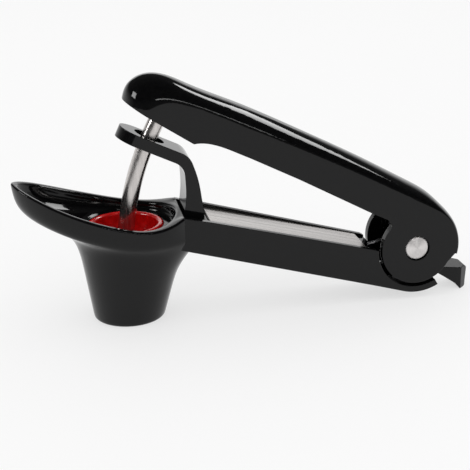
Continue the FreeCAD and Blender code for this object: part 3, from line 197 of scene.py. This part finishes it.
def spunMetal(name, look, centre):
    material, tree, shader = newMaterial(name)
    setSockets(shader, {"Metallic": 1.0, "Anisotropic": look["anisotropic"]})
    flat = objectPlace(tree, (1, 0, 1), centre)
    distance = tree.nodes.new("ShaderNodeVectorMath")
    distance.operation = "LENGTH"
    tree.links.new(flat, distance.inputs[0])
    rings = tree.nodes.new("ShaderNodeTexNoise")
    rings.noise_dimensions = "1D"
    setSockets(rings, {"Scale": look["rings"], "Detail": 2})
    tree.links.new(distance.outputs["Value"], rings.inputs["W"])
    ring = rings.outputs["Fac"]
    tree.links.new(flat, shader.inputs["Tangent"])  # rings scatter light along the radius
    tree.links.new(tinted(tree, ring, look["dark"], look["light"]), shader.inputs["Base Color"])
    tree.links.new(spread(tree, ring, *look["roughness"]), shader.inputs["Roughness"])
    tree.links.new(bumped(tree, ring, look["relief"], look["ringDepth"]), shader.inputs["Normal"])
    return material


pinLow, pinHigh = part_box("hinge_pin")
pinCentre = (pinLow + pinHigh) / 2
pinSteel = spunMetal("pinSteel", pinLook, pinCentre)

# The pin turned anew with its crowned, ring-marked face.
pinShape = {"headRadius": 4.75 * mm, "headWall": 1.2 * mm, "shankRadius": 2.0 * mm, "crown": 0.5 * mm,
            "edge": 0.45 * mm, "middle": 0.02 * mm, "ringPitch": 0.16 * mm, "ringDepth": 0.0012 * mm,
            "faceSteps": 90, "edgeSteps": 8, "round": 144, "sharpFrom": 40}


def turnedPin(name, look, low, high, centre):
    # The profile runs from the face's middle outwards, round the edge, and down head and shank. The face
    # falls by crown * (radius / headRadius) squared with a cosine ripple, and the edge is a quarter circle.
    head, shank, middle = look["headRadius"], look["shankRadius"], look["middle"]
    face = np.linspace(middle, head - look["edge"], look["faceSteps"])
    fall = look["crown"] * (face / head) ** 2
    ripple = look["ringDepth"] * np.cos(2 * np.pi * face / look["ringPitch"])
    bend = np.linspace(0, np.pi / 2, look["edgeSteps"] + 1)[1:]
    edgeRadius = head - look["edge"] * (1 - np.sin(bend))
    edgeFall = fall[-1] + look["edge"] * (1 - np.cos(bend))
    radius = np.concatenate([face, edgeRadius, [head, shank, shank, middle]])
    depth = np.concatenate([fall + ripple, edgeFall, [look["headWall"]] * 2, [high.y - low.y] * 2])
    turn = np.linspace(0, 2 * np.pi, look["round"], endpoint=False)
    return revolved(name, radius, low.y + depth, turn, centre, look["sharpFrom"])


def revolved(name, radius, along, turn, centre, sharpFrom):
    # A grid of profile steps by turns about the Y axis: x and z are the centre plus radius times cosine and
    # sine of the turn, y is the profile's. It is wrapped round and closed with a flat face at each end.
    steps, around = len(radius), len(turn)
    places = np.empty((steps, around, 3))
    places[..., 0] = centre.x + radius[:, None] * np.cos(turn)
    places[..., 1] = along[:, None]
    places[..., 2] = centre.z + radius[:, None] * np.sin(turn)
    index = np.arange(steps * around).reshape(steps, around)
    beside = np.roll(index, -1, axis=1)
    quads = np.stack([index[:-1], beside[:-1], beside[1:], index[1:]], axis=-1).reshape(-1, 4)
    faces = quads[:, ::-1].tolist() + [index[0].tolist(), index[-1, ::-1].tolist()]
    mesh = bpy.data.meshes.new(name)
    mesh.from_pydata(places.reshape(-1, 3).tolist(), [], faces)
    mesh.shade_smooth()
    mesh.set_sharp_from_angle(angle=math.radians(sharpFrom))
    piece = bpy.data.objects.new(name, mesh)
    scene.collection.objects.link(piece)
    return piece


hingePin = turnedPin("turned_hinge_pin", pinShape, pinLow, pinHigh, pinCentre)
wear(hingePin.data, pinSteel)
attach(hingePin, "frame")
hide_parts("hinge_pin")
print("turned hinge pin")


# Moulded silicone: deep red with a little light in it and a soft gloss that is never quite even.
cupLook = {"dark": (0.44, 0.002, 0.002), "light": (0.66, 0.004, 0.004), "roughness": (0.14, 0.26),
           "cloud": 380, "grain": 2600, "grainDepth": 0.00001, "relief": 0.12, "ior": 1.42,
           "scatter": 0.12, "scatterReach": (0.004, 0.0008, 0.0006), "coat": 0.35, "coatRoughness": 0.1}


def softRed(name, look):
    material, tree, shader = newMaterial(name)
    setSockets(shader, {"Subsurface Weight": look["scatter"], "Subsurface Radius": look["scatterReach"],
                        "Subsurface Scale": 1.0, "Coat Weight": look["coat"],
                        "Coat Roughness": look["coatRoughness"], "IOR": look["ior"]})
    place = objectPlace(tree)
    cloud = noiseOn(tree, place, look["cloud"])
    tree.links.new(tinted(tree, cloud, look["dark"], look["light"]), shader.inputs["Base Color"])
    tree.links.new(spread(tree, cloud, *look["roughness"]), shader.inputs["Roughness"])
    grain = bumped(tree, noiseOn(tree, place, look["grain"], 2), look["relief"], look["grainDepth"])
    tree.links.new(grain, shader.inputs["Normal"])
    return material


siliconeRed = softRed("siliconeRed", cupLook)


# Inner plastics: the same grain for the black carrier and sleeve and for the pale bushes and washers.
innerLook = {"dark": (0.014, 0.014, 0.014), "light": (0.024, 0.024, 0.024), "roughness": (0.42, 0.58),
             "grain": 1500, "grainDepth": 0.00002, "relief": 0.2}
bushLook = {**innerLook, "dark": (0.56, 0.55, 0.51), "light": (0.68, 0.67, 0.63)}


def plainPlastic(name, look):
    material, tree, shader = newMaterial(name)
    grain = noiseOn(tree, objectPlace(tree), look["grain"], 4)
    tree.links.new(spread(tree, grain, *look["roughness"]), shader.inputs["Roughness"])
    tree.links.new(tinted(tree, grain, look["dark"], look["light"]), shader.inputs["Base Color"])
    tree.links.new(bumped(tree, grain, look["relief"], look["grainDepth"]), shader.inputs["Normal"])
    return material


innerPlastic = plainPlastic("innerPlastic", innerLook)
bushPlastic = plainPlastic("bushPlastic", bushLook)

finishOf = {
    "main_frame": frameBlack, "silicone_cup": siliconeRed, "guide_arm": guideBlack,
    "guide_screws": screwSteel, "steel_strip": stripSteel, "hinge_pin": pinSteel, "hinge_cap": pinSteel,
    "hinge_washers": bushPlastic, "spring_sleeve": innerPlastic, "torsion_spring": springSteel,
    "stop_screw": screwSteel, "lever_shell": shellBlack, "rod_carrier": innerPlastic,
    "carrier_screws": screwSteel, "punch_rod": rodSteel, "rod_pin": screwSteel,
    "lever_bushes": bushPlastic, "lock_tab": tabBlack,
}
for nodeName, finish in finishOf.items():
    wear(nodes[nodeName].data, finish)
print("materials on", len(finishOf), "nodes")


# The camera stands where the photograph's perspective puts it, level apart from a slight roll.
cameraView = {"place": (-26.832, -376.233, 164.650), "yaw": 0.1845, "pitch": 0.3393, "roll": -0.018,
              "focalPixels": 1018.90, "framePixels": 470, "sensor": 36, "sight": (0.01, 20)}


def placeCamera(view):
    yaw, pitch, roll = view["yaw"], view["pitch"], view["roll"]
    ahead = Vector((math.sin(yaw) * math.cos(pitch), math.cos(yaw) * math.cos(pitch), -math.sin(pitch)))
    right = Vector((math.cos(yaw), -math.sin(yaw), 0))
    up = right.cross(ahead)
    rolledRight = math.cos(roll) * right + math.sin(roll) * up
    rolledUp = math.cos(roll) * up - math.sin(roll) * right
    data = bpy.data.cameras.new("camera")
    data.sensor_width = view["sensor"]
    data.lens = view["focalPixels"] * view["sensor"] / view["framePixels"]
    data.clip_start, data.clip_end = view["sight"]
    camera = bpy.data.objects.new("camera", data)
    scene.collection.objects.link(camera)
    turned = Matrix((rolledRight, rolledUp, -ahead)).transposed().to_4x4()
    camera.matrix_world = Matrix.Translation(Vector(view["place"]) * mm) @ turned
    scene.camera = camera


placeCamera(cameraView)
scene.view_settings.view_transform = "Standard"
print("camera")


# The studio: a pale sheet underfoot, a white wall all round, and soft lamps.
studio = {"floorHalf": 3.0, "floorColour": (0.97, 0.97, 0.97, 1), "floorRoughness": 0.6,
          "floorSpecular": 0.2, "floorWhite": 0.65, "skyLight": 1.0, "wallWhite": 1.0,
          "frontShade": 0.08, "frontBand": (-0.25, 0.55), "roofShade": 0.06, "roofBand": (0.12, 0.36)}
lamps = {  # place, aim, width, height, radiance
    "rearBox": ((0.66, 0.37, 0.69), (0.06, 0.0, 0.06), 0.52, 0.22, 10),
    "leftBox": ((-0.80, -0.12, 0.50), (0.0, 0.0, 0.07), 0.30, 0.26, 12),
    "backBox": ((0.18, 1.20, 0.46), (0.05, 0.0, 0.03), 1.05, 0.36, 0.9),
    "frontStrip": ((0.30, -1.15, 0.50), (0.06, 0.0, 0.05), 0.80, 0.07, 9),
}


def layFloor(look):
    mesh = bpy.data.meshes.new("floor")
    corners = look["floorHalf"] * np.array([(-1, -1, 0), (1, -1, 0), (1, 1, 0), (-1, 1, 0)], float)
    mesh.from_pydata(corners.tolist(), [], [(0, 1, 2, 3)])
    floor = bpy.data.objects.new("floor", mesh)
    scene.collection.objects.link(floor)
    material, tree, shader = newMaterial("floorWhite")
    setSockets(shader, {"Base Color": look["floorColour"], "Roughness": look["floorRoughness"],
                        "Specular IOR Level": look["floorSpecular"]})
    # a share of the white comes straight to the eye and to mirrors, and the rest takes the shadow
    white = tree.nodes.new("ShaderNodeEmission")
    white.inputs["Color"].default_value = look["floorColour"]
    seen = mathOn(tree, *raysOf(tree), "MAXIMUM")
    mix = tree.nodes.new("ShaderNodeMixShader")
    tree.links.new(mathOn(tree, seen, look["floorWhite"], "MULTIPLY"), mix.inputs["Fac"])
    tree.links.new(shader.outputs[0], mix.inputs[1])
    tree.links.new(white.outputs[0], mix.inputs[2])
    tree.links.new(mix.outputs[0], tree.nodes["Material Output"].inputs["Surface"])
    wear(mesh, material)


def hangLamp(name, place, aim, width, height, radiance):
    data = bpy.data.lights.new(name, "AREA")
    data.shape = "RECTANGLE"
    data.size, data.size_y = width, height
    data.energy = radiance * math.pi * width * height  # watts of a flat lamp
    lamp = bpy.data.objects.new(name, data)
    lamp.location = place
    lamp.rotation_mode = "QUATERNION"
    lamp.rotation_quaternion = (Vector(aim) - Vector(place)).to_track_quat("-Z", "Y")
    lamp.visible_diffuse = False  # the soft sky alone lights matt surfaces, without hard shadows
    scene.collection.objects.link(lamp)


def raiseWalls(look):
    # matt surfaces get an even sky, the camera sees a white wall, and in mirrors that wall falls off
    # overhead and towards the front
    world = bpy.data.worlds.new("studio")
    world.use_nodes = True
    scene.world = world
    tree = world.node_tree
    tree.nodes.clear()
    out = tree.nodes.new("ShaderNodeOutputWorld")
    lit, wall, mirrored = (tree.nodes.new("ShaderNodeBackground") for _ in range(3))
    for background in (lit, wall, mirrored):
        background.inputs["Color"].default_value = (1, 1, 1, 1)
    lit.inputs["Strength"].default_value = look["skyLight"]
    wall.inputs["Strength"].default_value = look["wallWhite"]
    coords = tree.nodes.new("ShaderNodeTexCoord")
    axes = tree.nodes.new("ShaderNodeSeparateXYZ")
    tree.links.new(coords.outputs["Generated"], axes.inputs[0])
    behind = spread(tree, axes.outputs["Y"], look["frontShade"], look["wallWhite"], look["frontBand"])
    roof = spread(tree, axes.outputs["Z"], 1, look["roofShade"], look["roofBand"])
    tree.links.new(mathOn(tree, behind, roof, "MULTIPLY"), mirrored.inputs["Strength"])
    seen, shine = raysOf(tree)
    first, second = (tree.nodes.new("ShaderNodeMixShader") for _ in range(2))
    tree.links.new(shine, first.inputs["Fac"])
    tree.links.new(lit.outputs[0], first.inputs[1])
    tree.links.new(mirrored.outputs[0], first.inputs[2])
    tree.links.new(seen, second.inputs["Fac"])
    tree.links.new(first.outputs[0], second.inputs[1])
    tree.links.new(wall.outputs[0], second.inputs[2])
    tree.links.new(second.outputs[0], out.inputs["Surface"])


layFloor(studio)
raiseWalls(studio)
for lampName, lampValues in lamps.items():
    hangLamp(lampName, *lampValues)
print("studio with", len(lamps), "lamps")
